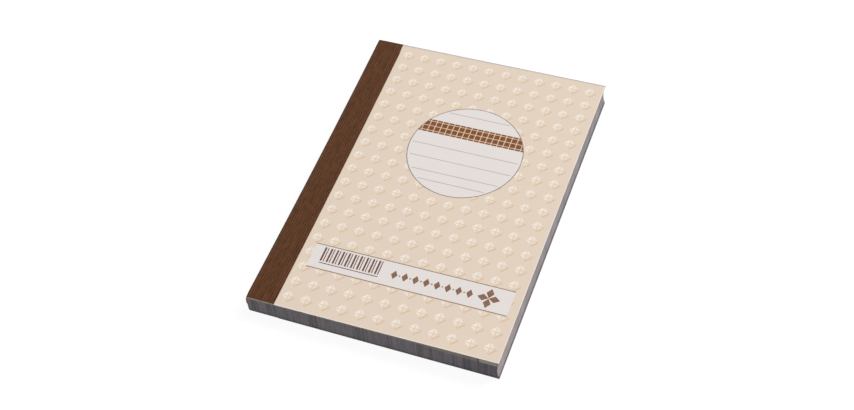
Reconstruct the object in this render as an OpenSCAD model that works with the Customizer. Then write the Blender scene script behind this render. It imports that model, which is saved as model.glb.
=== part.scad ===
// Duplicate book: a stapled pad of copy sheets between two card covers,
// bound along its left edge with a strip of ribbed cloth tape.
// Millimetres. +X runs from spine to fore-edge, +Y from tail to head, +Z up.
// The origin is under the middle of the book, on the surface that it lies on.

/* [Book] */
// Width from the spine to the fore-edge
book_w = 106; // [90:0.1:160]
// Height from tail to head
book_h = 148; // [130:1:230]
// Thickness at the spine, where the staples pinch the sheets
spine_t = 8.95; // [6:0.05:16]
// Thickness at the fore-edge, where the sheets lie loose
fore_t = 10.9; // [6:0.05:20]
// How far the fore-edge of the sheets bows inwards
fore_bow = 0.8; // [0.2:0.05:1.5]
// How far the bottom sheets stay behind the front cover's fore-edge
fore_lean = 0; // [0:0.05:1.5]

/* [Covers] */
// Thickness of the cover card
card_t = 0.3; // [0.2:0.05:0.6]

/* [Spine tape] */
// Width of the cloth tape on the front
tape_front_w = 13.3; // [9:0.1:20]
// Width of the cloth tape on the back
tape_back_w = 13.3; // [9:0.1:20]
// Thickness of the cloth tape
tape_t = 0.25; // [0.15:0.05:0.5]
// Outer radius of the tape's turn at the front
tape_front_r = 1.25; // [1.1:0.05:1.8]
// Outer radius of the tape's turn at the back
tape_back_r = 1; // [0.6:0.05:1.5]
// How far the spine leans outwards from the front turn down to the step
spine_flare = 0.3; // [0:0.05:0.6]
// How far the lower sheets lie behind the upper ones at the spine
spine_step = 0.6; // [0:0.05:0.8]
// Depth below the front card at which the lower sheets step back
spine_step_depth = 4.05; // [2.4:0.05:4.5]
// Height over which they step back
spine_step_h = 0.6; // [0.2:0.1:1.2]

/* [Staples] */
// Width of the flat staple wire
wire_w = 0.7; // [0.5:0.05:1]
// Thickness of the flat staple wire
wire_t = 0.5; // [0.4:0.05:0.7]
// Length of a staple's crown
crown_l = 13; // [8:0.5:20]
// Length of each clinched leg end
clinch_l = 4; // [2:0.5:5]
// Distance from the spine edge to the middle of the staples
staple_inset = 5.5; // [4:0.1:7]
// Distance between the middles of the two staples
staple_spacing = 74; // [40:1:110]
// Clearance of the sheets round the wire
wire_gap = 0.03; // [0.01:0.01:0.1]

/* [Label] */
// Diameter of the round label field
label_d = 48.7; // [40:0.1:60]
// Label centre, from the middle of the cover towards the fore-edge
label_x = 6.7; // [0:0.1:10]
// Label centre, from the middle of the cover towards the head
label_y = 21.3; // [10:0.1:30]
// Width of the label's outline
outline_w = 0.3; // [0.2:0.05:1]
// Width of the writing rules
rule_w = 0.25; // [0.1:0.05:0.6]
// Distance from the label centre up to the top rule
rule_top = 19.4; // [17:0.1:19.5]
// Distance from the label centre to the first rule under the squares
rule_first = 0; // [-2:0.1:2]
// Distance between the rules under the squares
rule_pitch = 6.9; // [4:0.1:7]
// Distance from those rules down to the last one
rule_foot = 4.7; // [3:0.1:5]
// Bare margin between the rules and the label's outline
rule_margin = 1; // [0.2:0.1:3]
// Middle of the band of squares, above the label centre
squares_y = 10.25; // [8:0.05:12]
// Height of the band of squares
squares_h = 7.1; // [4:0.1:9]
// Distance from one square to the next
square_pitch = 2.6; // [1.5:0.1:5]
// Width of the pale line between the squares
square_gap = 0.4; // [0.2:0.05:0.8]

/* [Title band] */
// Height of the pale band
band_h = 11.4; // [10.4:0.1:16]
// Middle of the band, from the tail edge
band_y = 27.2; // [15:0.1:35]
// Distance from the tape to the band
band_start = 4.6; // [2:0.1:15]
// Distance from the band to the fore-edge
band_end = 3.8; // [1:0.1:15]
// Width of the rules along the band
band_rule_w = 0.35; // [0.2:0.05:1]
// Distance from the band's start to the first bar
bars_start = 4.3; // [1:0.1:8]
// Length of the run of bars
bars_l = 25.4; // [15:0.1:30]
// Height of the bars
bars_h = 6.8; // [3:0.1:7]
// Middle of the bars, above the middle of the band
bars_rise = 1.5; // [0:0.1:1.8]
// Distance from one bar to the next
bar_pitch = 1.3; // [0.8:0.05:3]
// Width of the wide bars
bar_wide = 0.75; // [0.3:0.05:0.79]
// Width of the narrow bars
bar_narrow = 0.4; // [0.2:0.05:0.7]
// Distance from the bars down to the thin line under them
bar_foot = 1.1; // [0.5:0.1:1.5]
// Width of the lozenges in the border
lozenge_w = 2.7; // [1.5:0.1:2.9]
// Height of the lozenges in the border
lozenge_h = 4.2; // [2:0.1:6]
// Distance from one lozenge to the next
lozenge_pitch = 4.5; // [3.6:0.1:4.5]
// Width of the dots between the lozenges
dot_w = 0.8; // [0.4:0.1:0.9]
// Number of lozenges in the border
lozenge_n = 8; // [2:1:8]
// Distance from the last bar to the first lozenge
lozenge_start = 6; // [3:0.1:9]
// Distance from the middle of the end rosette to the band's end
rosette_end = 9.3; // [6:0.1:9.5]
// Width of the end rosette
rosette_w = 9.6; // [4:0.1:9.8]

/* [Cover pattern] */
// Distance from one stud of the pattern to the next
stud_pitch = 7.6; // [6:0.1:14]
// Width of a printed stud
stud_w = 5.4; // [3:0.1:5.8]
// Height of a printed stud
stud_h = 5.4; // [3:0.1:5.8]
// How far a stud's printed shade falls to its lower right
stud_shade = 0.5; // [0.2:0.05:0.8]
// Bare margin round the label and the band
stud_clear = 0.4; // [0.2:0.1:2]

/* [Hidden] */

// Thickness given to the printed fields, so that each has a face of its own
ink_t = 0.03;
// Steps in the small arcs of the section, and in the bow of the fore-edge
corner_steps = 6;
bow_steps = 14;
// Evenly spaced writing rules under the band of squares
rules_below = 3;
label_fn = 128;

fore_x = book_w / 2;
label_r = label_d / 2;
spine_x = -book_w / 2 + tape_t;
front_hinge_x = -book_w / 2 + tape_front_w;
back_hinge_x = -book_w / 2 + tape_back_w;
cover_tilt = atan((fore_t - spine_t) / book_w);
card_rise = card_t / cos(cover_tilt);
tape_rise = tape_t / cos(cover_tilt);
fore_foot_x = fore_x - fore_lean;

// Height of the front card's outer face at a place along X
function cover_z(x) = spine_t + (x + book_w / 2) * tan(cover_tilt);

// Points along an arc, both ends included
function arc(centre, r, from, to, steps) =
    [for (i = [0:steps]) let (a = from + (to - from) * i / steps) centre + r * [cos(a), sin(a)]];

// The two rounded turns at the spine, shared by the stack and the tape
front_turn_r = tape_front_r - tape_t;
back_turn_r = tape_back_r - tape_t;
front_turn_x = spine_x + spine_flare + front_turn_r;
front_turn = [front_turn_x, cover_z(front_turn_x) - front_turn_r / cos(cover_tilt)];
back_turn = [spine_x + spine_step + back_turn_r, tape_t + back_turn_r];
step_z = spine_t - spine_step_depth;

// Outline of the spine from the front turn down to the back turn, grown outwards by a skin
function spine_outline(skin) = concat(
    arc(front_turn, front_turn_r + skin, 90 + cover_tilt, 180, corner_steps),
    [
        [spine_x - skin, step_z + spine_step_h / 2],
        [spine_x + spine_step - skin, step_z - spine_step_h / 2]
    ],
    arc(back_turn, back_turn_r + skin, 180, 270, corner_steps)
);

// The sheets' fore-edge is an arc that bows inwards, from the back card up to the front card
fore_head = [fore_x, cover_z(fore_x) - card_rise];
fore_foot = [fore_foot_x, card_t];
fore_chord = norm(fore_head - fore_foot);
fore_r = fore_chord * fore_chord / (8 * fore_bow) + fore_bow / 2;
fore_up = (fore_head - fore_foot) / fore_chord;
fore_centre = (fore_head + fore_foot) / 2 + (fore_r - fore_bow) * [fore_up[1], -fore_up[0]];
fore_half_angle = asin(fore_chord / 2 / fore_r);
fore_mid_angle = 180 + atan2(-fore_up[0], fore_up[1]);

// Angles at which the two turns pass from the card to the sheets
front_split = 90 + cover_tilt + acos((front_turn_r - card_t) / front_turn_r);
strip_top = tape_t + card_t;
back_split = 180 + asin(min(max((back_turn[1] - strip_top) / back_turn_r, 0), 1));

// Sections of the closed book, X across and Z up: first the sheets, from the front down the spine
sheet_section = concat(
    arc(front_turn, front_turn_r, front_split, 180, corner_steps),
    [
        [spine_x, step_z + spine_step_h / 2],
        [spine_x + spine_step, step_z - spine_step_h / 2]
    ],
    arc(back_turn, back_turn_r, 180, back_split, corner_steps),
    [[back_hinge_x, strip_top], [back_hinge_x, card_t]],
    arc(
        fore_centre, fore_r,
        fore_mid_angle + fore_half_angle, fore_mid_angle - fore_half_angle, bow_steps
    )
);

// Bound edge of the front card, rounded where the tape turns over it
front_strip_section = concat(
    arc(front_turn, front_turn_r, 90 + cover_tilt, front_split, corner_steps),
    [
        [front_hinge_x, cover_z(front_hinge_x) - card_rise],
        [front_hinge_x, cover_z(front_hinge_x)]
    ]
);

// Bound edge of the back card, rounded where the tape turns under it
back_strip_section = concat(
    arc(back_turn, back_turn_r, back_split, 270, corner_steps),
    [[back_hinge_x, tape_t], [back_hinge_x, strip_top]]
);

front_leaf_section = [
    [front_hinge_x, cover_z(front_hinge_x) - card_rise],
    [fore_x, cover_z(fore_x) - card_rise],
    [fore_x, cover_z(fore_x)],
    [front_hinge_x, cover_z(front_hinge_x)]
];
back_leaf_section = [[back_hinge_x, 0], [fore_foot_x, 0], [fore_foot_x, card_t], [back_hinge_x, card_t]];

// The tape: its outer face from the front down the spine, and back along its inner face
tape_inner = spine_outline(0);
tape_section = concat(
    [[front_hinge_x, cover_z(front_hinge_x) + tape_rise]],
    spine_outline(tape_t),
    [[back_hinge_x, 0], [back_hinge_x, tape_t]],
    [for (i = [len(tape_inner) - 1:-1:0]) tape_inner[i]],
    [[front_hinge_x, cover_z(front_hinge_x)]]
);

// Draws a section out along the height of the book
module along_spine(section) {
    rotate([90, 0, 0]) linear_extrude(height = book_h, center = true) polygon(section);
}

// Places print on the front cover, measured from the middle of the cover
module on_cover(level = 0) {
    translate([0, 0, cover_z(0)])
        rotate([0, -cover_tilt, 0])
            translate([0, 0, level * ink_t]) linear_extrude(ink_t) children();
}

staple_x = -book_w / 2 + staple_inset;
crown_top = cover_z(staple_x - wire_w / 2);

// Bent flat wire of a staple, grown on every side by a gap: crown at the front, legs clinched at the back
module staple(gap = 0) {
    w = wire_w + 2 * gap;
    t = wire_t + 2 * gap;
    translate([-w / 2, -crown_l / 2 - gap, crown_top - wire_t - gap]) cube([w, crown_l + 2 * gap, t]);
    for (side = [0, 1]) mirror([0, side, 0]) {
        translate([-w / 2, crown_l / 2 - wire_t - gap, tape_t - gap])
            cube([w, t, crown_top - tape_t + gap]);
        translate([-w / 2, crown_l / 2 - clinch_l - gap, tape_t - gap])
            cube([w, clinch_l + 2 * gap, t]);
    }
}

// Both staples in their places along the spine
module at_staples() {
    for (side = [-1, 1]) translate([staple_x, side * staple_spacing / 2, 0]) children();
}

// The room that a staple takes in the stack, open to the front card's outer face
module staple_room() {
    staple(wire_gap);
    translate([-wire_w / 2 - wire_gap, -crown_l / 2 - wire_gap, crown_top - wire_t])
        cube([wire_w + 2 * wire_gap, crown_l + 2 * wire_gap, 2 * wire_t]);
}

// Sheets of the pad as one solid, pierced for the staples
module page_block() {
    color("#a7a2a4") difference() {
        along_spine(sheet_section);
        at_staples() staple_room();
    }
}

// The part of the front cover that opens, from the tape to the fore-edge
module front_cover() {
    color("#e5d4c0") along_spine(front_leaf_section);
}

// The bound edge of the front cover, held under the tape
module front_cover_strip() {
    color("#d9cbb9") difference() {
        along_spine(front_strip_section);
        at_staples() staple_room();
    }
}

// The part of the back cover that opens
module back_cover() {
    color("#d9cbb9") along_spine(back_leaf_section);
}

// The bound edge of the back cover, held under the tape
module back_cover_strip() {
    color("#d9cbb9") difference() {
        along_spine(back_strip_section);
        at_staples() staple_room();
    }
}

// Cloth tape from the front cover, round the spine, to the back cover
module spine_tape() {
    color("#593c28") along_spine(tape_section);
}

// Two wire staples through the whole stack, crown at the front
module staples() {
    color("#b9bcc0") at_staples() staple();
}

// Round pale field in which the owner writes
module label_field() {
    color("#e4dedc") on_cover() translate([label_x, label_y]) circle(label_r, $fn = label_fn);
}

// Thin line round the label
module label_outline() {
    color("#6f6a6a") on_cover() translate([label_x, label_y]) difference() {
        circle(label_r + outline_w, $fn = label_fn);
        circle(label_r, $fn = label_fn);
    }
}

// A rule across the label, cut to the circle at its height
module label_rule(y) {
    half = sqrt(label_r * label_r - (abs(y) + rule_w) * (abs(y) + rule_w)) - rule_margin;
    translate([-half, y - rule_w / 2]) square([2 * half, rule_w]);
}

// Writing rules in the label
module label_rules() {
    color("#8d8784") on_cover(1) translate([label_x, label_y]) {
        label_rule(rule_top);
        for (i = [0:rules_below - 1]) label_rule(rule_first - i * rule_pitch);
        label_rule(rule_first - (rules_below - 1) * rule_pitch - rule_foot);
    }
}

// Brown band of squares, as printed on squared paper
module label_squares() {
    columns = ceil(label_r / square_pitch);
    side = square_pitch - square_gap;
    color("#7a4b2c") on_cover(1) translate([label_x, label_y]) intersection() {
        circle(label_r, $fn = label_fn);
        translate([-label_r, squares_y - squares_h / 2]) square([label_d, squares_h]);
        for (i = [-columns:columns], j = [-columns:columns])
            if (abs(j + 0.5) * square_pitch < (squares_h + square_pitch) / 2)
                translate([i * square_pitch, squares_y + (j + 0.5) * square_pitch])
                    square(side, center = true);
    }
}

// Ends and middle height of the title band, from the middle of the cover
band_from = front_hinge_x + band_start;
band_to = fore_x - band_end;
band_mid_y = -book_h / 2 + band_y;
bars_from = band_from + bars_start;
bars_mid_y = band_mid_y + bars_rise;

// Pale band across the foot of the cover
module title_band() {
    color("#e4dedc") on_cover()
        translate([band_from, band_mid_y - band_h / 2]) square([band_to - band_from, band_h]);
}

// Brown rules along the upper and lower edge of the band
module band_rules() {
    color("#8a6a55") on_cover() for (side = [-1, 1])
        translate([band_from, band_mid_y + side * (band_h + band_rule_w) / 2 - band_rule_w / 2])
            square([band_to - band_from, band_rule_w]);
}

// Even run of plain bars, wide and narrow in turn, over a thin line
module band_bars() {
    count = floor(bars_l / bar_pitch);
    color("#6d4a38") on_cover(1) {
        for (i = [0:count]) {
            w = i % 2 == 0 ? bar_wide : bar_narrow;
            translate([bars_from + i * bar_pitch, bars_mid_y - bars_h / 2]) square([w, bars_h]);
        }
        translate([bars_from, bars_mid_y - bars_h / 2 - bar_foot]) square([bars_l, band_rule_w]);
    }
}

// A lozenge that stands on its point
module lozenge(w, h) {
    polygon([[-w / 2, 0], [0, -h / 2], [w / 2, 0], [0, h / 2]]);
}

// Border of lozenges and dots, closed by a four-pointed rosette
module band_ornament() {
    border_x = bars_from + bars_l + lozenge_start;
    color("#8a6a55") on_cover(1) {
        for (i = [0:lozenge_n - 1]) translate([border_x + i * lozenge_pitch, band_mid_y]) {
            lozenge(lozenge_w, lozenge_h);
            if (i > 0) translate([-lozenge_pitch / 2, 0]) lozenge(dot_w, dot_w);
        }
        translate([band_to - rosette_end, band_mid_y]) for (a = [0:90:270]) rotate(a)
            translate([rosette_w / 4, 0]) lozenge(rosette_w / 2 - rule_w, rosette_w / 3);
    }
}

// Whether a stud at a place is clear of the label, the band and the edges
stud_reach = stud_w / 2 + stud_shade + stud_clear;
function clear_of_label(p) = norm(p - [label_x, label_y]) > label_r + outline_w + stud_reach;
function clear_of_band(p) =
    abs(p[1] - band_mid_y) > band_h / 2 + band_rule_w + stud_h / 2 + stud_shade + stud_clear
    || p[0] < band_from - stud_reach || p[0] > band_to + stud_reach;

// Places of the studs: straight rows and columns over the whole opening cover
stud_columns = floor((fore_x - front_hinge_x - 2 * stud_reach) / stud_pitch);
stud_rows = floor((book_h / 2 - stud_h / 2 - stud_shade - stud_clear) / stud_pitch);
studs = [
    for (i = [0:stud_columns], j = [-stud_rows:stud_rows])
        let (p = [front_hinge_x + stud_reach + i * stud_pitch, j * stud_pitch])
            if (clear_of_label(p) && clear_of_band(p)) p
];

// Light faces of the printed studs
module pattern_lights() {
    color("#efe4d4") on_cover() for (p = studs) translate(p) lozenge(stud_w, stud_h);
}

// Shade printed along the lower right edges of the studs
module pattern_shades() {
    color("#d6c2a2") on_cover() for (p = studs) translate(p) difference() {
        translate([stud_shade, -stud_shade]) lozenge(stud_w, stud_h);
        lozenge(stud_w, stud_h);
    }
}

page_block();
front_cover();
front_cover_strip();
back_cover();
back_cover_strip();
spine_tape();
staples();
label_field();
label_outline();
label_rules();
label_squares();
title_band();
band_rules();
band_bars();
band_ornament();
pattern_lights();
pattern_shades();
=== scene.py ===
"""Looks of a duplicate book: a taped and stapled pad of copy sheets between two card covers."""

import math

import bpy
import numpy as np
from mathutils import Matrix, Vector, noise


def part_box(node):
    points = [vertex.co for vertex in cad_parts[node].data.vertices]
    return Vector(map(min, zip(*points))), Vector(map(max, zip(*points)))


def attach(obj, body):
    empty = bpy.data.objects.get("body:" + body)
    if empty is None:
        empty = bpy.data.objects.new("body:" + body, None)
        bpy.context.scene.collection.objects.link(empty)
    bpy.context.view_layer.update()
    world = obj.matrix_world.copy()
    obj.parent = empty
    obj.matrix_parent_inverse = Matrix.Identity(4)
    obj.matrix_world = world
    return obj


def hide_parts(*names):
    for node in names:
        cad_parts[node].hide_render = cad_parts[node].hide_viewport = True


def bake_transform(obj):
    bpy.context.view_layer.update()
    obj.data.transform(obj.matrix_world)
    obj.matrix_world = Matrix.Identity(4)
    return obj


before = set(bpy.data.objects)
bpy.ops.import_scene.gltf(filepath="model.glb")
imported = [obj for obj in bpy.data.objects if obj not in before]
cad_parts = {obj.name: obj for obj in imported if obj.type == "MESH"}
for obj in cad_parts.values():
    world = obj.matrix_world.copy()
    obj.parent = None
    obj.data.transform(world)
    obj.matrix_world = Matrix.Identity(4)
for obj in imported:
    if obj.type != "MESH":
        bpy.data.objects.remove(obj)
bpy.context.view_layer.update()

# Camera. The book was photographed from above, past its tail edge and a little to the right,
# with a short telephoto lens. Place, turn and lens are those that put the cover's four corners
# where the photograph has them.
LENS_MM = 62.21
SENSOR_MM = 36.0
CAMERA_PLACE = (0.15529, -0.35278, 0.48260)
CAMERA_TURN_DEG = (38.376, 3.438, 19.894)

camera_data = bpy.data.cameras.new("camera")
camera_data.lens = LENS_MM
camera_data.sensor_width = SENSOR_MM
camera = bpy.data.objects.new("camera", camera_data)
camera.location = CAMERA_PLACE
camera.rotation_euler = [math.radians(turn) for turn in CAMERA_TURN_DEG]
bpy.context.scene.collection.objects.link(camera)
bpy.context.scene.camera = camera

# Studio. The book lies on a plain white table under one wide lamp behind its fore-edge, so the
# cover is bright, the fore-edge is half lit and the tail edge is in shade. The table is drawn
# white to the camera, and gives back less light than it seems to.
MM = 0.001
TABLE_SIZE = 6.0
# The table lies low enough not to hide the back cover, folded out flat under the tape
TABLE_DROP = 0.55 * MM
TABLE_COLOUR = (0.12, 0.12, 0.12, 1)
TABLE_BOUNCE = (0.26, 0.26, 0.26, 1)
TABLE_LIFT = 0.92
ROOM_LIGHT = 0.40
LAMP_PLACE = (2.5, 2.5, 4.2)
LAMP_SIZE = 2.6
LAMP_WATTS = 240.0


def new_material(name):
    """A material with an empty node tree, and that tree."""
    material = bpy.data.materials.new(name)
    material.use_nodes = True
    tree = material.node_tree
    tree.nodes.clear()
    return material, tree


def add_node(tree, kind, inputs=None, **settings):
    """Adds one node. Each input is a value, or another node's output to link to."""
    node = tree.nodes.new(kind)
    for key, value in settings.items():
        setattr(node, key, value)
    for key, value in (inputs or {}).items():
        if isinstance(value, bpy.types.NodeSocket):
            tree.links.new(value, node.inputs[key])
        else:
            node.inputs[key].default_value = value
    return node


table_paint, tree = new_material("white_table")
seen = add_node(tree, "ShaderNodeLightPath")
plain = add_node(tree, "ShaderNodeBsdfDiffuse", {"Color": TABLE_COLOUR})
lift = add_node(tree, "ShaderNodeEmission", {"Color": (1, 1, 1, 1), "Strength": TABLE_LIFT})
bright = add_node(tree, "ShaderNodeAddShader", {0: plain.outputs[0], 1: lift.outputs[0]})
dull = add_node(tree, "ShaderNodeBsdfDiffuse", {"Color": TABLE_BOUNCE})
either = add_node(tree, "ShaderNodeMath", {0: seen.outputs["Is Camera Ray"],
                                           1: seen.outputs["Is Glossy Ray"]}, operation="MAXIMUM")
surface = add_node(tree, "ShaderNodeMixShader", {"Fac": either.outputs[0],
                                                 1: dull.outputs[0], 2: bright.outputs[0]})
add_node(tree, "ShaderNodeOutputMaterial", {"Surface": surface.outputs[0]})

half = TABLE_SIZE / 2
table_mesh = bpy.data.meshes.new("table")
table_mesh.from_pydata([(-half, -half, -TABLE_DROP), (half, -half, -TABLE_DROP),
                        (half, half, -TABLE_DROP), (-half, half, -TABLE_DROP)], [], [(0, 1, 2, 3)])
table_mesh.materials.append(table_paint)
table = bpy.data.objects.new("table", table_mesh)
bpy.context.scene.collection.objects.link(table)

world = bpy.data.worlds.new("studio")
world.use_nodes = True
tree = world.node_tree
tree.nodes.clear()
seen = add_node(tree, "ShaderNodeLightPath")
strength = add_node(tree, "ShaderNodeMapRange", {"Value": seen.outputs["Is Camera Ray"],
                                                 "To Min": ROOM_LIGHT, "To Max": 1.0})
glow = add_node(tree, "ShaderNodeBackground", {"Color": (1, 1, 1, 1),
                                               "Strength": strength.outputs[0]})
add_node(tree, "ShaderNodeOutputWorld", {"Surface": glow.outputs[0]})
bpy.context.scene.world = world

lamp_data = bpy.data.lights.new("wide_lamp", "AREA")
lamp_data.shape = "DISK"
lamp_data.size = LAMP_SIZE
lamp_data.energy = LAMP_WATTS
lamp = bpy.data.objects.new("wide_lamp", lamp_data)
lamp.location = LAMP_PLACE
lamp.rotation_euler = (-Vector(LAMP_PLACE)).to_track_quat("-Z", "Y").to_euler()
bpy.context.scene.collection.objects.link(lamp)
bpy.context.scene.view_settings.view_transform = "Standard"

# Pad. A hundred thin sheets, trimmed together by a guillotine after they were stapled. Each
# sheet's edge stands a hair in or out, the knife left fine upright marks, and the fore-edge bows
# inwards. The top sheet is printed with squares and has a line of holes to tear it off by.
SHEETS = 100
SHEET_GROOVE = 0.022 * MM
SHEET_SCATTER = 0.030 * MM
SHEET_WANDER = 0.01 * MM
SHEET_SEED = 7
WANDER_ALONG = 60
WANDER_DOWN = 37
FORE_BOW = 0.8 * MM
SPINE_FLARE = 0.3 * MM
SPINE_STEP = 0.6 * MM
SPINE_STEP_DEPTH = 4.05 * MM
SPINE_STEP_HEIGHT = 0.6 * MM
BACK_TURN = 0.75 * MM
FRONT_TURN = 1.0 * MM
WAIST = 0.47 * MM
WAIST_SKEW = 0.2 * MM
WAIST_REACH = 4.5 * MM
TAIL_TUCK = 0.23 * MM
TAIL_TUCK_LENGTH = 3.5 * MM
EASE = 0.6 * MM
LONG_STEPS = 60
SHORT_STEPS = 40

leaf_low, leaf_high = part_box("front_cover")
tape_low, tape_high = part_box("spine_tape")
tail_y, head_y = leaf_low.y, leaf_high.y
hinge_x, fore_x = leaf_low.x, leaf_high.x
back_low, back_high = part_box("back_cover")
back_hinge_x = back_low.x
CARD = back_high.z - back_low.z
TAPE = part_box("back_cover_strip")[0].z
spine_x = tape_low.x + TAPE
cover_slope = (leaf_high.z - leaf_low.z - CARD) / (fore_x - hinge_x)


def cover_top(x):
    """Height of the front card's outer face at a place along X."""
    return leaf_low.z + CARD + (x - hinge_x) * cover_slope


cover_tilt = math.atan(cover_slope)
front_turn_x = spine_x + SPINE_FLARE + FRONT_TURN
front_turn_z = cover_top(front_turn_x) - FRONT_TURN / math.cos(cover_tilt)
back_turn_x = spine_x + SPINE_STEP + BACK_TURN
back_turn_z = TAPE + BACK_TURN
step_top = cover_top(spine_x) - SPINE_STEP_DEPTH + SPINE_STEP_HEIGHT / 2
step_foot = step_top - SPINE_STEP_HEIGHT


def clamped(t):
    """A share held between 0 and 1."""
    return min(max(t, 0.0), 1.0)


def eased(t):
    """A share held between 0 and 1, with a soft start and end."""
    t = clamped(t)
    return t * t * (3 - 2 * t)


def turn_sag(drop, radius):
    """How far a round turn falls back at a distance past its middle."""
    return radius - math.sqrt(max(radius ** 2 - max(drop, 0) ** 2, 0))


def back_card_low(x):
    """Height of the back card's under face: on the tape near the spine, on the table beyond."""
    return TAPE * (1 - eased((x - back_hinge_x) / EASE))


def spine_edge(z):
    """Where the sheets end at the spine, at a height."""
    x = spine_x + SPINE_FLARE * clamped((z - step_top) / (front_turn_z - step_top))
    x += SPINE_STEP * clamped((step_top - z) / SPINE_STEP_HEIGHT)
    return x + turn_sag(z - front_turn_z, FRONT_TURN) + turn_sag(back_turn_z - z, BACK_TURN)


def fore_edge(level):
    """Where the sheets end at the fore-edge, at a level from 0, the bottom sheet, to 1, the top."""
    return fore_x - FORE_BOW * 4 * level * (1 - level)


def sheet_height(x, level):
    """Height of a level of the pad at a place along X."""
    low = back_card_low(x) + CARD
    return low + (cover_top(x) - CARD - low) * level


def pad_ring(level, inset, wander):
    """One loop round the pad at a level: tail edge, fore-edge, head edge, spine."""
    middle = sheet_height(spine_x, level)
    start = spine_edge(middle) + inset
    end = fore_edge(level) - inset
    ring = []

    def shift(place):
        return wander * noise.noise(Vector((place * WANDER_ALONG, level * WANDER_DOWN, 1)))

    for i in range(SHORT_STEPS + 1):
        x = start + (end - start) * i / SHORT_STEPS
        ring.append((x, tail_y + inset - shift(x), sheet_height(x, level)))
    for i in range(1, LONG_STEPS):
        y = tail_y + (head_y - tail_y) * i / LONG_STEPS
        x = end + shift(y)
        ring.append((x, y, sheet_height(x, level)))
    for i in range(SHORT_STEPS + 1):
        x = end + (start - end) * i / SHORT_STEPS
        # A metre further along the noise, so that the head edge doesn't repeat the tail edge
        ring.append((x, head_y - inset + shift(x + 1), sheet_height(x, level)))
    for i in range(1, LONG_STEPS):
        y = head_y + (tail_y - head_y) * i / LONG_STEPS
        ring.append((start, y, sheet_height(start, level)))
    return ring


def waisted(x, y, z):
    """Moves a place near the spine inwards: the staples pinch the spine between its ends.

    Above the step it is also tucked in at the tail, where the book is handled most.
    """
    share = y / head_y
    depth = WAIST * (1 - share ** 2) + WAIST_SKEW * (1 - share) / 2
    at_tail = 1 - eased((y - tail_y) / TAIL_TUCK_LENGTH)
    depth += TAIL_TUCK * at_tail * eased((z - step_foot) / SPINE_STEP_HEIGHT)
    return x + depth * (1 - eased((x - spine_x) / WAIST_REACH))


def new_piece(name, points, faces, smooth=True):
    """A mesh object from points and faces, pinched at the spine."""
    mesh = bpy.data.meshes.new(name)
    mesh.from_pydata([(waisted(x, y, z), y, z) for x, y, z in points], [], faces)
    mesh.update()
    for face in mesh.polygons:
        face.use_smooth = smooth
    piece = bpy.data.objects.new(name, mesh)
    bpy.context.scene.collection.objects.link(piece)
    return piece


def joined_rings(rings):
    """Faces between one closed ring of points and the next."""
    count = len(rings[0])
    faces = []
    for here in range(0, (len(rings) - 1) * count, count):
        following = here + count
        for i in range(count):
            j = (i + 1) % count
            faces.append((here + i, here + j, following + j, following + i))
    return faces


def pad_cap(first, upward):
    """Closes the pad's top or bottom with strips from its tail edge to its head edge.

    One face at each end takes up the points along the fore-edge or the spine.
    """
    last_tail = SHORT_STEPS
    first_head = SHORT_STEPS + LONG_STEPS
    last_head = first_head + SHORT_STEPS
    faces = []
    for i in range(1, SHORT_STEPS - 1):
        faces.append((first + i, first + i + 1, first + last_head - i - 1, first + last_head - i))
    faces.append(range(first + last_tail - 1, first + first_head + 2))
    faces.append([*range(first + last_head - 1, first + last_head + LONG_STEPS), first, first + 1])
    return [face if upward else face[::-1] for face in faces]


random_sheets = np.random.default_rng(SHEET_SEED)
rings = []
for sheet in range(SHEETS):
    scatter = SHEET_WANDER + SHEET_SCATTER * random_sheets.random()
    rings.append(pad_ring(sheet / SHEETS, SHEET_GROOVE + SHEET_SCATTER, 0.0))
    rings.append(pad_ring((sheet + 0.5) / SHEETS, scatter, SHEET_WANDER))
rings.append(pad_ring(1.0, SHEET_GROOVE, 0.0))
pad_faces = joined_rings(rings)
side_faces = len(pad_faces)
pad_faces += pad_cap(0, upward=False)
under_faces = len(pad_faces)
pad_faces += pad_cap((len(rings) - 1) * len(rings[0]), upward=True)
pad = new_piece("sheet_pad", [p for ring in rings for p in ring], pad_faces, smooth=False)


def colour(red, green, blue):
    """A colour given as 0 to 255 on the screen, as the linear values that a shader takes."""
    def linear(value):
        value /= 255
        return value / 12.92 if value <= 0.04045 else ((value + 0.055) / 1.055) ** 2.4
    return (linear(red), linear(green), linear(blue), 1)


def new_group(name, inputs, outputs):
    """A shader node group with named sockets. Returns the tree, its input and its output node."""
    group = bpy.data.node_groups.new(name, "ShaderNodeTree")
    for label, kind, value in inputs:
        socket = group.interface.new_socket(label, in_out="INPUT", socket_type=kind)
        socket.default_value = value
    for label, kind in outputs:
        group.interface.new_socket(label, in_out="OUTPUT", socket_type=kind)
    return group, group.nodes.new("NodeGroupInput"), group.nodes.new("NodeGroupOutput")


def place_group(tree, group, inputs):
    """Places a node group in a tree."""
    return add_node(tree, "ShaderNodeGroup", inputs, node_tree=group)


def maths(tree, operation, a, b=0.0, c=0.0):
    """One arithmetic node, as its output socket."""
    return add_node(tree, "ShaderNodeMath", {0: a, 1: b, 2: c}, operation=operation).outputs[0]


def product(tree, first, *others):
    """Masks and shares multiplied together."""
    for other in others:
        first = maths(tree, "MULTIPLY", first, other)
    return first


def between(tree, share, low, high):
    """A value that goes from low to high with a share."""
    return maths(tree, "MULTIPLY_ADD", share, high - low, low)


def soft_step(tree, value, start, end):
    """A mask that goes smoothly from 0 at start to 1 at end."""
    return add_node(tree, "ShaderNodeMapRange", {"Value": value, "From Min": start, "From Max": end},
                    interpolation_type="SMOOTHSTEP").outputs[0]


def soft_end(tree, value, start, end):
    """A mask that goes smoothly from 1 at start to 0 at end."""
    return maths(tree, "SUBTRACT", 1.0, soft_step(tree, value, start, end))


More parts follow.
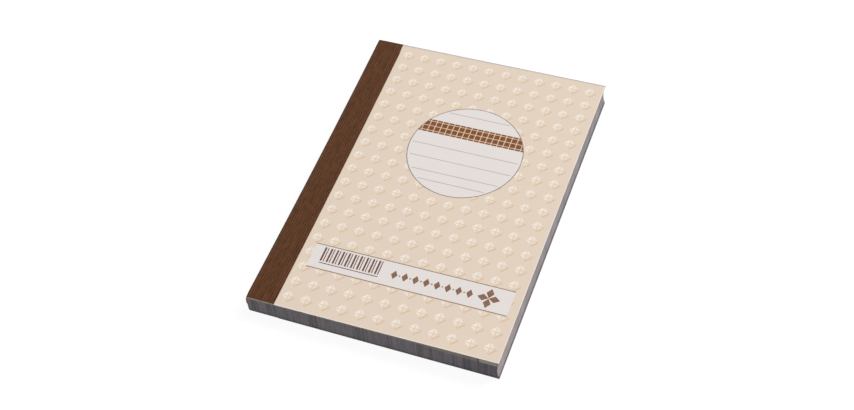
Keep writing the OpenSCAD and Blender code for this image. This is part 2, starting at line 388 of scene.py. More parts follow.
def mix_colours(tree, mask, first, second, blend_type="MIX"):
    """Two colours mixed by a mask, as an output socket."""
    node = tree.nodes.new("ShaderNodeMix")
    node.data_type = "RGBA"
    node.blend_type = blend_type
    wanted = ((node.inputs["Factor"], mask), (node.inputs[6], first), (node.inputs[7], second))
    for socket, value in wanted:
        if isinstance(value, bpy.types.NodeSocket):
            tree.links.new(value, socket)
        else:
            socket.default_value = value
    return node.outputs[2]


def shaded(tree, tone, mask, shade):
    """A colour darkened by a shade where a mask is 1."""
    return mix_colours(tree, mask, tone, shade, "MULTIPLY")


def specks(tree, place, scale, detail, roughness=0.5):
    """Soft random specks from 0 to 1, or streaks where the place is stretched."""
    return add_node(tree, "ShaderNodeTexNoise", {"Vector": place, "Scale": scale, "Detail": detail,
                                                 "Roughness": roughness}).outputs["Fac"]


def relief(tree, height, strength, depth):
    """The normal of a surface that a height raises, by a depth in metres."""
    return add_node(tree, "ShaderNodeBump", {"Strength": strength, "Distance": depth,
                                             "Height": height}).outputs[0]


def object_place(tree):
    """The place on a piece, in metres."""
    return add_node(tree, "ShaderNodeTexCoord").outputs["Object"]


def parts(tree, place):
    """The three parts of a place."""
    return add_node(tree, "ShaderNodeSeparateXYZ", {0: place}).outputs[:]


def joined(tree, x, y):
    """A place made of two parts."""
    return add_node(tree, "ShaderNodeCombineXYZ", {"X": x, "Y": y}).outputs[0]


def finish_material(tree, tone, roughness, specular=0.5, metallic=0.0, normal=None):
    """Ends a material with its shader and its output."""
    looks = {"Base Color": tone, "Roughness": roughness, "Specular IOR Level": specular,
             "Metallic": metallic}
    if normal is not None:
        looks["Normal"] = normal
    skin = add_node(tree, "ShaderNodeBsdfPrincipled", looks)
    add_node(tree, "ShaderNodeOutputMaterial", {"Surface": skin.outputs[0]})


# Paper fibre: soft clouds in the tone of a sheet or card, and a fine tooth on its surface
TOOTH_DEPTH = 0.02 * MM

fibre, inside, outside = new_group(
    "paper_fibre",
    [("Vector", "NodeSocketVector", (0, 0, 0)), ("Colour", "NodeSocketColor", (1, 1, 1, 1)),
     ("Mottle", "NodeSocketFloat", 0.03), ("Tooth", "NodeSocketFloat", 0.1)],
    [("Colour", "NodeSocketColor"), ("Normal", "NodeSocketVector")])
clouds = specks(fibre, inside.outputs["Vector"], scale=90, detail=4, roughness=0.6)
tooth = specks(fibre, inside.outputs["Vector"], scale=5200, detail=3, roughness=0.65)
uneven = maths(fibre, "SUBTRACT", maths(fibre, "ADD", clouds, tooth), 1.0)
value = maths(fibre, "MULTIPLY_ADD", uneven, inside.outputs["Mottle"], 1.0)
toned = add_node(fibre, "ShaderNodeHueSaturation", {"Color": inside.outputs["Colour"], "Value": value})
fibre.links.new(toned.outputs[0], outside.inputs["Colour"])
fibre_relief = relief(fibre, tooth, strength=inside.outputs["Tooth"], depth=TOOTH_DEPTH)
fibre.links.new(fibre_relief, outside.inputs["Normal"])


def finish_paper(tree, place, tone, mottle, tooth, roughness, specular):
    """Ends a material of paper or card: its fibre, then its shader."""
    grain = place_group(tree, fibre, {"Vector": place, "Colour": tone, "Mottle": mottle, "Tooth": tooth})
    finish_material(tree, grain.outputs["Colour"], roughness, specular, normal=grain.outputs["Normal"])


# Sheet edges: grey, darker than the white paper, partly their own tone and partly painted shade, with the
# knife's upright marks in two sizes. On the fore-edge they are calmer, and on the other sides they deepen
# where the knife dragged.
SHEET_EDGE = colour(186, 180, 184)
SHEET_EDGE_DARK = colour(128, 122, 130)
SHEET_EDGE_CALM = [(dark + pale) / 2 for dark, pale in zip(SHEET_EDGE_DARK, SHEET_EDGE)]
KNIFE_STRETCH = 0.03
FINE_MARKS = 0.6
MARK_CONTRAST = (0.36, 0.62)
FORE_FACE = 1.3 * FORE_BOW
FORE_CALM = 0.5
DRAG_CONTRAST = (1.05, 1.2)
DRAG_SHARE = 0.9
DRAG_SHADE = (0.60, 0.60, 0.64, 1)

edge_paper, tree = new_material("trimmed_sheet_edges")
x, y, z = parts(tree, object_place(tree))
round_edge = maths(tree, "ADD", x, y)
knife_place = joined(tree, round_edge, product(tree, z, KNIFE_STRETCH))
knife = specks(tree, knife_place, scale=900, detail=5, roughness=0.7)
wide_marks = specks(tree, knife_place, scale=160, detail=2)
marks = maths(tree, "ADD", product(tree, knife, FINE_MARKS), product(tree, wide_marks, 1 - FINE_MARKS))
tone = mix_colours(tree, soft_step(tree, marks, *MARK_CONTRAST), SHEET_EDGE_DARK, SHEET_EDGE)
on_fore = soft_step(tree, x, fore_x - FORE_FACE, fore_x - FORE_BOW)
off_fore = maths(tree, "SUBTRACT", 1.0, on_fore)
tone = mix_colours(tree, product(tree, on_fore, FORE_CALM), tone, SHEET_EDGE_CALM)
drag = soft_step(tree, maths(tree, "ADD", knife, wide_marks), *DRAG_CONTRAST)
tone = shaded(tree, tone, product(tree, drag, DRAG_SHARE, off_fore), DRAG_SHADE)

# The tail and head edges are darker towards the fore-edge
FORE_END_DARKENING = (0.78, 0.76, 0.80, 1)
FORE_END_DARKENING_FROM = 15 * MM

fore_end_darkening = soft_step(tree, x, FORE_END_DARKENING_FROM, fore_x - FORE_BOW)
tone = shaded(tree, tone, product(tree, fore_end_darkening, off_fore), FORE_END_DARKENING)

# Painted light: the upper sheets are paler where light from above catches them, more of them towards the
# fore-edge, and palest at the near corner
UPPER_SHEETS_LIT = colour(196, 190, 168)
CORNER_SHEETS_LIT = colour(216, 210, 200)
UPPER_SHARE = 0.55
UPPER_SHARE_FORE = 0.20
UPPER_SHARE_LIT_CORNER = 0.35
UPPER_FADE = 0.8
UPPER_THIN = 0.6 * MM
UPPER_THICK = 2.4 * MM
UPPER_FROM = 12 * MM
UPPER_TO = 38 * MM
LIT_CORNER_FROM = 1 * MM
LIT_CORNER_TO = 16 * MM
NICK_X = 44.7 * MM
NICK_WIDTH = 0.8 * MM

pad_top = maths(tree, "MULTIPLY_ADD", x, cover_slope, cover_top(0) - CARD)
upper_depth = between(tree, soft_step(tree, x, UPPER_FROM, UPPER_TO), UPPER_THIN, UPPER_THICK)
share_down = maths(tree, "DIVIDE", maths(tree, "SUBTRACT", pad_top, z), upper_depth)
upper = soft_end(tree, share_down, UPPER_FADE, 1.0)
at_corner = soft_end(tree, y, tail_y + LIT_CORNER_FROM, tail_y + LIT_CORNER_TO)
lit_corner = product(tree, at_corner, soft_step(tree, x, NICK_X, NICK_X + NICK_WIDTH))
upper_share = between(tree, on_fore, UPPER_SHARE, UPPER_SHARE_FORE)
upper_share = maths(tree, "MULTIPLY_ADD", lit_corner, UPPER_SHARE_LIT_CORNER, upper_share)
upper_painted_light = mix_colours(tree, lit_corner, UPPER_SHEETS_LIT, CORNER_SHEETS_LIT)
tone = mix_colours(tree, product(tree, upper, upper_share), tone, upper_painted_light)

# A nick that the knife left in the tail edge, where the palest corner begins, drawn as a dark line of
# painted shade
NICK_SHADE = (0.30, 0.30, 0.33, 1)
NICK_BELOW = 0.5

from_nick = maths(tree, "ABSOLUTE", maths(tree, "SUBTRACT", x, NICK_X))
nick = soft_end(tree, from_nick, 0.0, NICK_WIDTH / 2)
nick = product(tree, nick, at_corner, between(tree, upper, NICK_BELOW, 1.0))
tone = shaded(tree, tone, nick, NICK_SHADE)

# The fore-edge is warmer, and paler towards the tail
FORE_WARM = (0.94, 0.92, 0.875, 1)
FORE_PALE = colour(200, 190, 184)
FORE_PALE_SHARE = 0.25
FORE_PALE_REACH = 60 * MM

near_tail = soft_end(tree, y, tail_y, tail_y + FORE_PALE_REACH)
tone = mix_colours(tree, product(tree, on_fore, near_tail, FORE_PALE_SHARE), tone, FORE_PALE)
tone = shaded(tree, tone, on_fore, FORE_WARM)

# Painted shade: all edges darken down at the table, where less light reaches them, the fore-edge most
LOW_PAINTED_SHADE = (0.60, 0.60, 0.64, 1)
LOW_PAINTED_SHADE_HEIGHT = 2.0 * MM
FORE_FOOT_SHADE = 1.7 * MM

fore_foot_shade = soft_end(tree, z, FORE_FOOT_SHADE / 2, FORE_FOOT_SHADE)
tone = shaded(tree, tone, soft_end(tree, z, 0.0, LOW_PAINTED_SHADE_HEIGHT), LOW_PAINTED_SHADE)
tone = shaded(tree, tone, product(tree, fore_foot_shade, on_fore), LOW_PAINTED_SHADE)

# The single sheets show as thin layers along every edge
LAYER_STRETCH = 0.02
LAYER_SHARE = 0.5
LAYER_SHADE = (0.72, 0.71, 0.74, 1)
EDGE_RELIEF = 0.03 * MM

layer_place = joined(tree, product(tree, round_edge, LAYER_STRETCH), z)
layers = specks(tree, layer_place, scale=2600, detail=4, roughness=0.8)
tone = shaded(tree, tone, product(tree, layers, LAYER_SHARE), LAYER_SHADE)
bump = relief(tree, maths(tree, "ADD", knife, layers), strength=0.35, depth=EDGE_RELIEF)
finish_material(tree, tone, roughness=0.9, specular=0.2, normal=bump)

# The top sheet, with its squares and the holes to tear it off by
SHEET_WHITE = colour(238, 238, 236)
SQUARE_LINE = colour(176, 180, 205)
SQUARE = 5 * MM
LINE = 0.16 * MM
LINE_BLUR = 0.3
FORM_BLUR = 0.05 * MM
TEAR_LINE = 2.2 * MM
HOLE_PITCH = 1.6 * MM
HOLE = 0.28 * MM
HOLE_BLUR = 0.2
HOLE_SHADE = colour(120, 118, 116)
HOLE_SHARE = 0.7


def within(tree, far, width, blur):
    """A mask that is 1 within half a width, with a soft rim that is a share of it."""
    return soft_end(tree, far, width / 2 * (1 - blur), width / 2 * (1 + blur))


def line_mask(tree, value):
    """A mask of the lines that rule the squares."""
    return within(tree, maths(tree, "PINGPONG", value, SQUARE / 2), LINE, LINE_BLUR)


top_paper, tree = new_material("squared_top_sheet")
place = object_place(tree)
x, y, _ = parts(tree, place)
form_x = hinge_x + SQUARE
lines = maths(tree, "MAXIMUM", line_mask(tree, maths(tree, "SUBTRACT", x, form_x)), line_mask(tree, y))
lines = product(tree, lines, soft_step(tree, x, form_x - FORM_BLUR, form_x))
# Painted shade: each hole is a grey dot, for the shade inside it
hole_x = maths(tree, "SUBTRACT", x, hinge_x + TEAR_LINE)
hole_y = maths(tree, "PINGPONG", y, HOLE_PITCH / 2)
hole_far = maths(tree, "ADD", product(tree, hole_x, hole_x), product(tree, hole_y, hole_y))
holes = within(tree, maths(tree, "SQRT", hole_far), HOLE, HOLE_BLUR)
white = mix_colours(tree, lines, SHEET_WHITE, SQUARE_LINE)
white = mix_colours(tree, product(tree, holes, HOLE_SHARE), white, HOLE_SHADE)
finish_paper(tree, place, white, mottle=0.02, tooth=0.12, roughness=0.8, specular=0.3)

# The last sheet, whose under face is bare
LAST_SHEET = colour(236, 233, 224)

bare_paper, tree = new_material("bare_last_sheet")
finish_paper(tree, object_place(tree), LAST_SHEET, mottle=0.03, tooth=0.12, roughness=0.8, specular=0.3)

for paint in (edge_paper, top_paper, bare_paper):
    pad.data.materials.append(paint)
TOP_SLOT, UNDER_SLOT = 1, 2
for face in pad.data.polygons[side_faces:under_faces]:
    face.material_index = UNDER_SLOT
for face in pad.data.polygons[under_faces:]:
    face.material_index = TOP_SLOT
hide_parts("page_block")
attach(pad, "pad")

# Front cover. One piece of thin white card, printed cream with rows of pale studs, and folded at
# the tape's edge. Its bound edge is stapled to the pad under the tape, and the rest opens.
FOLD = 1.0 * MM
CARD_ROWS = 60
FRONT_TURN_COLUMNS = 8
STRIP_COLUMNS = 10
FOLD_COLUMNS = 10
LEAF_COLUMNS = 40
# The share of a turn that a card goes round, short of where its two faces would meet
TURN_SHARE = 0.95
OUTER_SLOT, CUT_SLOT, INNER_SLOT = range(3)


def spread(start, end, count):
    """Even steps from start up to, and without, the end."""
    return [start + (end - start) * i / count for i in range(count)]


def turn_reach(radius):
    """How far a card goes round a turn before its two faces meet, in radians."""
    return TURN_SHARE * math.acos((radius - CARD) / radius)


def card_columns(turn_x, radius, turn_columns, fold_x):
    """Places along X of a card's points: round its turn, along its bound edge, its fold and its leaf."""
    columns = [turn_x - radius * math.sin(angle) for angle in spread(turn_reach(radius), 0, turn_columns)]
    columns += spread(turn_x, fold_x, STRIP_COLUMNS)
    columns += spread(fold_x, fold_x + FOLD, FOLD_COLUMNS)
    return columns + spread(fold_x + FOLD, fore_x, LEAF_COLUMNS) + [fore_x]


def card_piece(name, columns, outer, inner):
    """A card as a closed thin solid. Outer and inner give the height of its two faces along X.

    Its map in millimetres keeps the place of the print when the card bends.
    """
    rows = spread(tail_y, head_y, CARD_ROWS) + [head_y]
    wide = len(columns)
    points = [(x, y, outer(x)) for y in rows for x in columns]
    points += [(x, y, inner(x)) for y in rows for x in columns]
    under = len(rows) * wide
    upward = outer(columns[-1]) > inner(columns[-1])
    faces, slots = [], []

    def add_face(corners, slot):
        faces.append(corners if upward else corners[::-1])
        slots.append(slot)

    def add_cut(a, b):
        add_face((a, under + a, under + b, b), CUT_SLOT)

    for row in range(0, under - wide, wide):
        for a in range(row, row + wide - 1):
            b = under + a
            add_face((a, a + 1, a + wide + 1, a + wide), OUTER_SLOT)
            add_face((b, b + wide, b + wide + 1, b + 1), INNER_SLOT)
        add_cut(row + wide - 1, row + wide + wide - 1)
        add_cut(row + wide, row)
    head_row = under - wide
    for c in range(wide - 1):
        add_cut(c, c + 1)
        add_cut(head_row + c + 1, head_row + c)
    piece = new_piece(name, points, faces, smooth=False)
    flat = piece.data.uv_layers.new(name="millimetres")
    for loop in piece.data.loops:
        x, y, _ = piece.data.vertices[loop.vertex_index].co
        flat.data[loop.index].uv = (x / MM, y / MM)
    for polygon, slot in zip(piece.data.polygons, slots):
        polygon.material_index = slot
    return piece


front_columns = card_columns(front_turn_x, FRONT_TURN, FRONT_TURN_COLUMNS, hinge_x)


def front_outer(x):
    """The front card's printed face, rounded over the spine."""
    return cover_top(x) - turn_sag(front_turn_x - x, FRONT_TURN)


front_card = card_piece("front_card", front_columns, front_outer, lambda x: cover_top(x) - CARD)

# Worn rim: a mask that fades in over the last millimetre before a cut edge, broken up by scuffs
WORN_FADE = 0.4

worn_rim, inside, outside = new_group(
    "worn_rim",
    [("Vector", "NodeSocketVector", (0, 0, 0)), ("Distance", "NodeSocketFloat", 1.0),
     ("Width", "NodeSocketFloat", 0.6)],
    [("Mask", "NodeSocketFloat")])
scuffs = specks(worn_rim, inside.outputs["Vector"], scale=0.5, detail=5, roughness=0.7)
worn = maths(worn_rim, "SUBTRACT", product(worn_rim, inside.outputs["Width"], scuffs),
             inside.outputs["Distance"])
worn = maths(worn_rim, "DIVIDE", worn, inside.outputs["Width"])
worn_rim.links.new(soft_step(worn_rim, worn, 0.0, WORN_FADE), outside.inputs["Mask"])


def map_place(tree):
    """The flat map of a piece in millimetres, as a vector and its two parts."""
    flat = add_node(tree, "ShaderNodeUVMap", uv_map="millimetres").outputs[0]
    return (flat, *parts(tree, flat)[:2])


def in_metres(tree, flat):
    """The map in metres, for textures whose scale is set in metres."""
    return add_node(tree, "ShaderNodeVectorMath", {0: flat, "Scale": MM}, operation="SCALE").outputs[0]


def rim_distance(tree, u, v):
    """Distance in millimetres to the nearest cut edge of a cover."""
    to_fore = maths(tree, "SUBTRACT", fore_x / MM, u)
    to_ends = maths(tree, "SUBTRACT", head_y / MM, maths(tree, "ABSOLUTE", v))
    return maths(tree, "MINIMUM", to_fore, to_ends)


# The printed face, in millimetres on the card's flat map: cream ink, and rows of pale lozenges that
# are lit from one side and throw a shade to the other
COVER_CREAM = colour(229, 211, 193)
STUD_PITCH = 7.6
STUD_WIDTH = 5.4
FIRST_STUD = 3.6
STUD_RIM = (0.84, 1.04)
STUD_LIGHT = colour(245, 235, 224)
STUD_DARK = colour(234, 218, 198)
STUD_LINE = colour(213, 186, 154)
STUD_LIT = (-0.5, 0.42)
RIDGE_WIDTH = 0.36
RIDGE_SHARE = 0.65
SHADE_SHIFT = 0.5
SHADE_RIM = (0.72, 1.1)
SHADE_SHARE = 0.8
PRINT_WORN_WIDTH = 1.3
PRINT_WORN_SHARE = 0.8
HEAD_EDGE_SHADE = colour(184, 180, 178)
HEAD_EDGE_SHADE_WIDTH = (0.5, 0.8)
HEAD_EDGE_SHADE_SHARE = 0.85
CARD_WHITE = colour(236, 230, 222)


def lozenge_share(tree, dx, dy):
    """How far a place is from the middle of a lozenge, as a share that is 1 on its outline."""
    total = maths(tree, "ADD", maths(tree, "ABSOLUTE", dx), maths(tree, "ABSOLUTE", dy))
    return maths(tree, "DIVIDE", total, STUD_WIDTH / 2)


printed_card, tree = new_material("printed_cover_card")
flat, u, v = map_place(tree)
half_pitch = STUD_PITCH / 2
first_stud = hinge_x / MM + FIRST_STUD
dx = maths(tree, "WRAP", maths(tree, "SUBTRACT", u, first_stud), half_pitch, -half_pitch)
dy = maths(tree, "WRAP", v, half_pitch, -half_pitch)
body = soft_end(tree, lozenge_share(tree, dx, dy), *STUD_RIM)
shade_share = lozenge_share(tree, maths(tree, "SUBTRACT", dx, SHADE_SHIFT),
                            maths(tree, "ADD", dy, SHADE_SHIFT))
shade = soft_end(tree, shade_share, *SHADE_RIM)
slope = maths(tree, "DIVIDE", maths(tree, "SUBTRACT", dy, dx), STUD_WIDTH)
ridge = maths(tree, "MINIMUM", maths(tree, "ABSOLUTE", dx), maths(tree, "ABSOLUTE", dy))
ridge = soft_end(tree, ridge, 0.0, RIDGE_WIDTH)
stud = mix_colours(tree, soft_step(tree, slope, *STUD_LIT), STUD_DARK, STUD_LIGHT)
stud = mix_colours(tree, product(tree, ridge, RIDGE_SHARE), stud, STUD_LINE)
tone = mix_colours(tree, product(tree, shade, SHADE_SHARE), COVER_CREAM, STUD_LINE)
tone = mix_colours(tree, body, tone, stud)
rim = place_group(tree, worn_rim, {"Vector": flat, "Distance": rim_distance(tree, u, v),
                                   "Width": PRINT_WORN_WIDTH})
tone = mix_colours(tree, product(tree, rim.outputs["Mask"], PRINT_WORN_SHARE), tone, CARD_WHITE)
# Painted shade: a thin grey line along the head edge, where the card's cut edge turns away from the light
head_edge_shade = soft_end(tree, maths(tree, "SUBTRACT", head_y / MM, v), *HEAD_EDGE_SHADE_WIDTH)
tone = mix_colours(tree, product(tree, head_edge_shade, HEAD_EDGE_SHADE_SHARE), tone, HEAD_EDGE_SHADE)
finish_paper(tree, in_metres(tree, flat), tone, mottle=0.035, tooth=0.12, roughness=0.55, specular=0.3)

# The bare card: its inner face and its cut edges
CARD_CUT = colour(205, 194, 182)
CARD_WORN_WIDTH = 0.8


def plain_card(name, tone, mottle, worn):
    """A material for bare card. Worn is how far its rim goes to the tone of the cut edge."""
    material, tree = new_material(name)
    flat, u, v = map_place(tree)
    rim = place_group(tree, worn_rim, {"Vector": flat, "Distance": rim_distance(tree, u, v),
                                       "Width": CARD_WORN_WIDTH})
    toned = mix_colours(tree, product(tree, rim.outputs["Mask"], worn), tone, CARD_CUT)
    finish_paper(tree, in_metres(tree, flat), toned, mottle, tooth=0.2, roughness=0.75, specular=0.25)
    return material


cut_card = plain_card("cut_card_edge", CARD_CUT, mottle=0.12, worn=0.0)
inner_card = plain_card("inner_card_face", CARD_WHITE, mottle=0.04, worn=0.5)
for paint in (printed_card, cut_card, inner_card):
    front_card.data.materials.append(paint)
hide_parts("front_cover", "front_cover_strip", "pattern_lights", "pattern_shades")
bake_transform(front_card)

# Back cover. A second piece of the same card, plain on both faces, folded at the edge of the tape
# on the underside. The pad lies on it, and its bound edge is stapled under the tape too.
BACK_TURN_COLUMNS = 6
BACK_CARD = colour(222, 212, 199)
# The back card's cut edge is drawn dark grey, much darker than its faces
DARK_BACK_EDGE = colour(74, 70, 73)

back_columns = card_columns(back_turn_x, BACK_TURN, BACK_TURN_COLUMNS, back_hinge_x)


def back_outer(x):
    """The back card's under face, rounded up at the spine."""
    return back_card_low(x) + turn_sag(back_turn_x - x, BACK_TURN)


back_card = card_piece("back_card", back_columns, back_outer, lambda x: back_card_low(x) + CARD)
back_face = plain_card("back_card_face", BACK_CARD, mottle=0.06, worn=0.6)
grey_cut = plain_card("cut_back_card_edge", DARK_BACK_EDGE, mottle=0.12, worn=0.0)
for paint in (back_face, grey_cut, inner_card):
    back_card.data.materials.append(paint)
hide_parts("back_cover", "back_cover_strip")
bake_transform(back_card)

# Staples. Two pieces of flat zinc-coated wire, driven through the whole stack and clinched at the
# back. The tape hides them, so they keep their plain bent form.
WIRE_DULL = colour(150, 152, 156)
WIRE_BRIGHT = colour(196, 198, 200)

wire, tree = new_material("staple_wire")
drawn = specks(tree, object_place(tree), scale=3000, detail=3)
finish_material(tree, mix_colours(tree, drawn, WIRE_DULL, WIRE_BRIGHT), roughness=0.35, metallic=1.0)


def dress(node, material):
    """Gives a carried-over piece its material."""
    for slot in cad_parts[node].material_slots:
        slot.material = material


dress("staples", wire)

# Spine tape. One strip of ribbed book cloth, glued over the bound edge of the front card, round
# the spine and under the back card. Its ribs run along the book, and it was laid a little out of
# true, so that the front shows less of it at the head. The staples lift it slightly.
RIB = 1.08 * MM
RIB_DEPTH = 0.12 * MM
RIB_STEPS = 8
TAPE_ROWS = 148
TAPE_INSET = 0.14 * MM
TAPE_SLANT = 0.2 * MM
TAPE_BOW = 0.3 * MM
TAPE_CURL = 0.35 * MM
TAPE_CURL_LENGTH = 8 * MM
TAPE_WAVER = 0.08 * MM
WAVER_ALONG = 90
TAPE_LIP = 0.2 * MM
TAPE_LIP_SHARE = 0.3
RIB_FULL = 0.8
RIB_UNEVEN = 0.35
UNEVEN_ACROSS = 0.9
UNEVEN_ALONG = 220
# Where the waver of its edge and the unevenness of its ribs are cut from the noise
WAVER_SLICE = 3.1
UNEVEN_SLICE = 7.0
STAPLE_HALF = 6.5 * MM
STAPLE_FADE = 1 * MM
STAPLE_LIFT = 0.03 * MM
LINE_POINTS = {"front": 40, "front_turn": 14, "spine": 10, "step": 8, "back_turn": 10, "back": 30}

staple_low, staple_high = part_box("staples")
staple_x = (staple_low.x + staple_high.x) / 2
staple_y = staple_high.y - STAPLE_HALF
wire_width = staple_high.x - staple_low.x


def turn_points(x, z, radius, start, end, count):
    """Places with their outward directions round a turn, angles in degrees."""
    outward = [(math.cos(math.radians(a)), math.sin(math.radians(a))) for a in spread(start, end, count)]
    return [(x + radius * out_x, z + radius * out_z, out_x, out_z) for out_x, out_z in outward]


def tape_line():
    """The tape's inner face as places and outward directions, from its front edge to its back edge."""
    tilt = math.degrees(cover_tilt)
    up = (-math.sin(cover_tilt), math.cos(cover_tilt))
    count = LINE_POINTS
    line = [(x, cover_top(x), *up) for x in spread(hinge_x, front_turn_x, count["front"])]
    line += turn_points(front_turn_x, front_turn_z, FRONT_TURN, 90 + tilt, 180, count["front_turn"])
    line += [(spine_edge(z), z, -1, 0) for z in spread(front_turn_z, step_top, count["spine"])]
    line += [(spine_edge(z), z, -1, 0) for z in spread(step_top, step_foot, count["step"])]
    line += [(spine_edge(z), z, -1, 0) for z in spread(step_foot, back_turn_z, count["spine"])]
    line += turn_points(back_turn_x, back_turn_z, BACK_TURN, 180, 270, count["back_turn"])
    back = spread(back_turn_x, back_hinge_x, count["back"]) + [back_hinge_x]
    return np.array(line + [(x, TAPE, 0, -1) for x in back])


# The line is measured along the tape's outer face, and divided evenly into ribs
line = tape_line()
outer = line[:, :2] + line[:, 2:] * TAPE
run = np.r_[0, np.cumsum(np.linalg.norm(np.diff(outer, axis=0), axis=1))]
rib_count = round(run[-1] / RIB)
steps = np.linspace(0, run[-1], rib_count * RIB_STEPS + 1)
fine = np.stack([np.interp(steps, run, line[:, k]) for k in range(4)], axis=1)
front_part = int(np.searchsorted(-fine[:, 0], -front_turn_x))


def staple_rise(x, y):
    """How much of the staples' lift the tape has at a place on the front, from 0 to 1."""
    across = math.exp(-((x - staple_x) / wire_width) ** 2)
    along = 1 - eased((abs(abs(y) - staple_y) - STAPLE_HALF) / STAPLE_FADE)
    return across * along


def tape_ring(y, full):
    """The tape's section at a place along the book: its ribbed outer face, then its inner face.

    Full is the share of its thickness, less than 1 where the knife dragged its cut ends down.
    """
    share = y / head_y
    inset = TAPE_INSET + TAPE_SLANT * share + TAPE_BOW * share ** 2
    curl = TAPE_CURL * eased(1 - (head_y - y) / TAPE_CURL_LENGTH)
    waver = TAPE_WAVER * noise.noise(Vector((y * WAVER_ALONG, WAVER_SLICE, 0)))
    reach = hinge_x - inset - curl - abs(waver)
    outer_ring, inner_ring = [], []
    for k, (x, z, out_x, out_z) in enumerate(fine):
        rib_place = k / RIB_STEPS
        uneven = noise.noise(Vector((rib_place * UNEVEN_ACROSS, y * UNEVEN_ALONG, UNEVEN_SLICE)))
        valley = 0.5 - 0.5 * math.cos(2 * math.pi * rib_place)
        skin = TAPE - RIB_DEPTH * (RIB_FULL + RIB_UNEVEN * uneven) * valley
        if k < front_part:
            x = front_turn_x + (x - front_turn_x) * (reach - front_turn_x) / (hinge_x - front_turn_x)
            z = cover_top(x)
            skin += STAPLE_LIFT * (staple_rise(x, y) - 1)
        skin *= full
        outer_ring.append((x + out_x * skin, y, z + out_z * skin))
        if k % RIB_STEPS == 0:
            inner_ring.append((x, y, z))
    return outer_ring + inner_ring[::-1]


tape_rows = spread(tail_y + TAPE_LIP, head_y - TAPE_LIP, TAPE_ROWS) + [head_y - TAPE_LIP]
tape_rings = [tape_ring(tail_y, TAPE_LIP_SHARE)]
tape_rings += [tape_ring(y, 1.0) for y in tape_rows]
tape_rings.append(tape_ring(head_y, TAPE_LIP_SHARE))
tape_faces = joined_rings(tape_rings)
ring_size = len(tape_rings[0])
last_ring = (len(tape_rings) - 1) * ring_size
for first, turned in ((0, True), (last_ring, False)):
    for rib in range(rib_count):
        inner = first + ring_size - 1 - rib
        cap = [first + rib * RIB_STEPS + k for k in range(RIB_STEPS + 1)] + [inner - 1, inner]
        tape_faces.append(cap[::-1] if turned else cap)
tape = new_piece("cloth_tape", [p for ring in tape_rings for p in ring], tape_faces)
END_SLOT = 1
for face in tape.data.polygons:
    if min(face.vertices) < ring_size or max(face.vertices) >= last_ring:
        face.material_index = END_SLOT

# The tape's flat map in millimetres: across its ribs, and along the book
flat_map = tape.data.uv_layers.new(name="millimetres")
for loop in tape.data.loops:
    k = loop.vertex_index % ring_size
    rib_place = k / RIB_STEPS if k < len(fine) else ring_size - 1 - k
    flat_map.data[loop.index].uv = (rib_place * RIB / MM, tape.data.vertices[loop.vertex_index].co.y / MM)

# The ribbed cloth, woven of uneven strands, with fine threads across the ribs
RIB_TOP = colour(121, 75, 39)
RIB_VALLEY_SHADE = colour(54, 29, 12)
RIB_WANDER = 1.3
WANDER_SHARE = 0.5
STRAND_STRETCH = 0.06
STRAND_GAIN = 1.3
STRAND_LESS = -0.15
PATCH_CONTRAST = (0.3, 0.7)
SHALLOW_VALLEY_SHADE = 0.3
DEEP_VALLEY_SHADE = 0.9
THREAD_PITCH = 0.42
THREAD_SHARE = 0.12
DARK_END = 0.9 * MM
DARK_END_SHARE = 0.6
ROUGH_CLOTH = 0.72
SMOOTH_CLOTH = 0.47
CLOTH_RELIEF = 0.04 * MM

cloth, tree = new_material("ribbed_book_cloth")
flat, u, v = map_place(tree)
rib_half = RIB / MM / 2
wander = maths(tree, "SUBTRACT", specks(tree, flat, scale=0.35, detail=3), 0.5)
bent = maths(tree, "MULTIPLY_ADD", wander, RIB_WANDER, u)
valley = soft_step(tree, maths(tree, "PINGPONG", bent, rib_half), 0.0, rib_half)
stretched = joined(tree, u, product(tree, v, STRAND_STRETCH))
strands = specks(tree, stretched, scale=3.2, detail=5, roughness=0.75)
patches = soft_step(tree, specks(tree, stretched, scale=0.9, detail=3), *PATCH_CONTRAST)
thread = soft_step(tree, maths(tree, "PINGPONG", v, THREAD_PITCH / 2), 0.0, THREAD_PITCH / 2)
tone = maths(tree, "MULTIPLY_ADD", strands, STRAND_GAIN, STRAND_LESS)
# Painted shade: the valleys between the ribs are darkened, deeper in patches
valley = product(tree, valley, between(tree, patches, SHALLOW_VALLEY_SHADE, DEEP_VALLEY_SHADE))
tone = product(tree, tone, maths(tree, "SUBTRACT", 1.0, valley))
tone = maths(tree, "MULTIPLY_ADD", thread, THREAD_SHARE, tone)
tone = maths(tree, "MULTIPLY_ADD", wander, WANDER_SHARE, tone)
brown = mix_colours(tree, tone, RIB_VALLEY_SHADE, RIB_TOP)
head_end = soft_step(tree, v, (head_y - DARK_END) / MM, (head_y - DARK_END / 2) / MM)
brown = mix_colours(tree, product(tree, head_end, DARK_END_SHARE), brown, RIB_VALLEY_SHADE)
bump = relief(tree, maths(tree, "ADD", thread, strands), strength=0.5, depth=CLOTH_RELIEF)
finish_material(tree, brown, between(tree, strands, ROUGH_CLOTH, SMOOTH_CLOTH), specular=0.2, normal=bump)
tape.data.materials.append(cloth)

# The cloth's cut ends, where its pale backing shows, made paler still as a painted highlight where the
# ends catch the light
CLOTH_BACKING_AND_HIGHLIGHT = colour(204, 184, 172)
CLOTH_BACK_DULL = colour(150, 126, 110)
FRAY_CONTRAST = (0.35, 0.65)

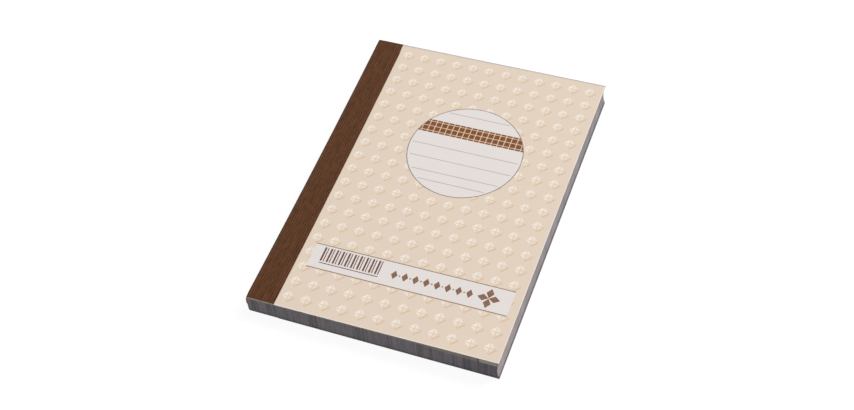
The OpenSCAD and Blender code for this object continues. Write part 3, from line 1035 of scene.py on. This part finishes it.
backing_and_highlight, tree = new_material("cut_cloth_ends")
flat, u, v = map_place(tree)
frayed = soft_step(tree, specks(tree, flat, scale=1.4, detail=4, roughness=0.7), *FRAY_CONTRAST)
finish_material(tree, mix_colours(tree, frayed, CLOTH_BACK_DULL, CLOTH_BACKING_AND_HIGHLIGHT), roughness=0.9, specular=0.2)
tape.data.materials.append(backing_and_highlight)
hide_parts("spine_tape")
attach(tape, "pad")

# Print on the cover. The round label and the band at the foot are the bare white card. Their
# rules, squares, bars and lozenges are brown and grey ink, laid thin enough for the paper's
# fibre to show through.
INK_WHITE = colour(231, 224, 221)
INK_BROWN = colour(120, 70, 32)
INK_TAN = colour(232, 196, 162)
INK_DULL_BROWN = colour(132, 94, 66)
INK_BAR = colour(104, 66, 46)
INK_GREY = colour(112, 104, 102)
INK_RULE = colour(176, 167, 163)
STARVED_CONTRAST = (0.45, 0.75)


def ink(name, tone, starved, band=None):
    """An ink on card. Starved is how much paler it gets where the fibre takes less of it.

    Band is the box of the squares, between whose ends along Y the card is tinted tan.
    """
    material, tree = new_material(name)
    place = object_place(tree)
    if band:
        low_y, high_y = band[0].y, band[1].y
        in_band = maths(tree, "COMPARE", parts(tree, place)[1], (low_y + high_y) / 2, (high_y - low_y) / 2)
        tone = mix_colours(tree, in_band, tone, INK_TAN)
    thin = soft_step(tree, specks(tree, place, scale=2600, detail=4, roughness=0.7), *STARVED_CONTRAST)
    toned = mix_colours(tree, product(tree, thin, starved), tone, INK_WHITE)
    finish_paper(tree, place, toned, mottle=0.03, tooth=0.12, roughness=0.5, specular=0.3)
    return material


dress("label_field", ink("bare_label_card", INK_WHITE, starved=0.0, band=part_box("label_squares")))
dress("title_band", ink("bare_white_card", INK_WHITE, starved=0.0))
dress("label_outline", ink("grey_outline_ink", INK_GREY, starved=0.2))
dress("label_rules", ink("grey_rule_ink", INK_RULE, starved=0.3))
dress("label_squares", ink("brown_square_ink", INK_BROWN, starved=0.15))
dress("band_bars", ink("brown_bar_ink", INK_BAR, starved=0.25))
dull_brown = ink("dull_brown_ink", INK_DULL_BROWN, starved=0.25)
dress("band_rules", dull_brown)
dress("band_ornament", dull_brown)
